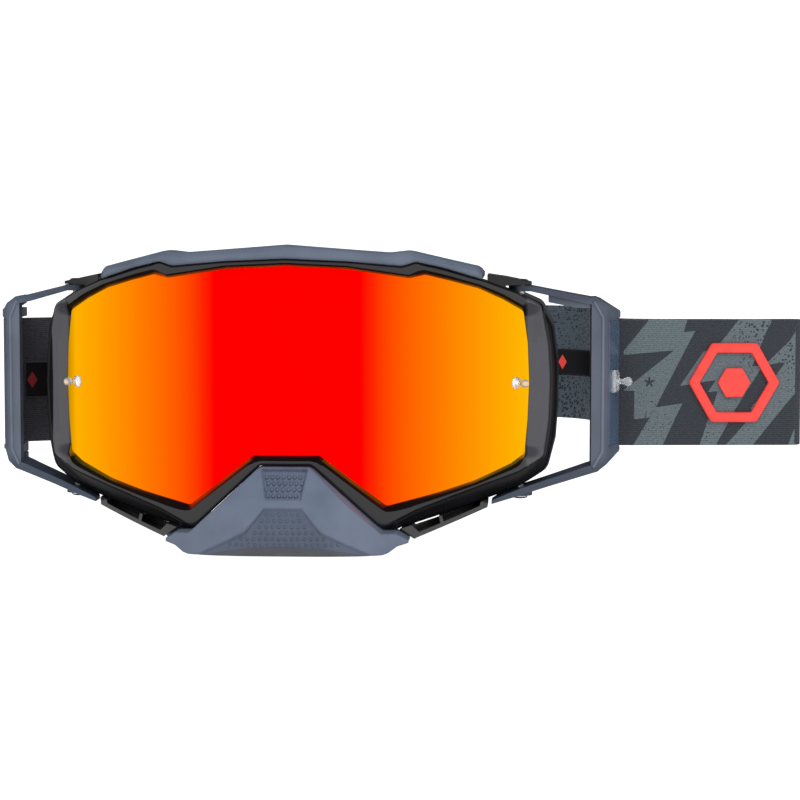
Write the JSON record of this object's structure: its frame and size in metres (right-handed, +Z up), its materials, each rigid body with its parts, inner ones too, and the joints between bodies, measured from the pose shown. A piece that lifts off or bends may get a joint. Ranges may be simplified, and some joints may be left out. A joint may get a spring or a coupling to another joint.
{
  "type": "motorcycle goggles",
  "caption": "Off-road riding goggles with a curved mirror lens, hinged strap outriggers, a clip-on nose guard, layered face foam and an adjustable elastic strap.",
  "frame": {"origin": "middle of the face opening, on the plane where the brow foam meets the forehead", "axes": "-Y is the way the wearer looks, +X is the wearer's left, +Z is up"},
  "size_m": [0.2902, 0.2285, 0.1021],
  "materials": {
    "frame_black": "flexible moulded frame, satin black",
    "bezel_black": "high gloss black",
    "lens_mirror": "red to gold mirror coating, polished",
    "seal_rubber": "soft matte",
    "slate_plastic": "fine satin slate blue-grey",
    "plate_gloss": "polished navy insert",
    "base_foam": "dense black open-cell foam",
    "middle_foam": "soft grey open-cell foam",
    "fleece": "brushed wicking fleece",
    "vent_foam": "thin reticulated filter foam",
    "clear_plastic": "clear moulded polycarbonate",
    "steel": "plain machined",
    "strap_printed": "woven elastic with a two-tone print",
    "strap_plain": "woven elastic, charcoal",
    "silicone": "tacky printed silicone",
    "emblem_rubber": "raised coral rubber",
    "slider_plastic": "satin black"
  },
  "bodies": {
    "root": {"main_frame": "frame_black", "front_bezel": "bezel_black", "lens": "lens_mirror", "lens_gasket": "seal_rubber", "brow_cover": "slate_plastic", "base_foam": "base_foam", "middle_foam": "middle_foam", "face_fleece": "fleece", "top_vent_foam": "vent_foam", "lower_vent_foam": "vent_foam", "lower_vent_left": "bezel_black", "lower_vent_right": "bezel_black", "tearoff_post_left": "clear_plastic", "tearoff_post_right": "clear_plastic", "hinge_lug_left": "frame_black", "hinge_lug_right": "frame_black", "hinge_screws_left": "steel", "hinge_screws_right": "steel", "strap_end_left": "strap_printed", "strap_end_right": "strap_plain", "strap_left": "strap_printed", "strap_right": "strap_plain", "grip_band_left": "silicone", "grip_band_right": "silicone", "strap_emblem": "emblem_rubber"},
    "nose_guard": {"nose_guard": "slate_plastic"},
    "outrigger_left": {"outrigger_left": "slate_plastic", "side_plate_left": "plate_gloss", "strap_bar_left": "steel", "strap_loop_left": "strap_printed", "tab_post": "clear_plastic"},
    "outrigger_right": {"outrigger_right": "slate_plastic", "side_plate_right": "plate_gloss", "strap_bar_right": "steel", "strap_loop_right": "strap_plain"},
    "strap_slider": {"strap_slider": "slider_plastic"}
  },
  "joints": [
    {"name": "outrigger_left_hinge", "type": "hinge", "parent": "root", "child": "outrigger_left", "pos_m": [0.077, -0.006, 0], "axis": [0, 0, 1], "range_deg": [0, 12], "deforming": ["strap_end_left"]},
    {"name": "outrigger_right_hinge", "type": "hinge", "parent": "root", "child": "outrigger_right", "pos_m": [-0.077, -0.006, 0], "axis": [0, 0, -1], "range_deg": [0, 12], "deforming": ["strap_end_right"]},
    {"name": "nose_guard_release", "type": "slide", "parent": "root", "child": "nose_guard", "axis": [0, -1, 0], "range_m": [0, 0.006]},
    {"name": "slider_travel", "type": "slide", "parent": "root", "child": "strap_slider", "axis": [1, 0, 0], "range_m": [-0.014, 0.014]}
  ]
}
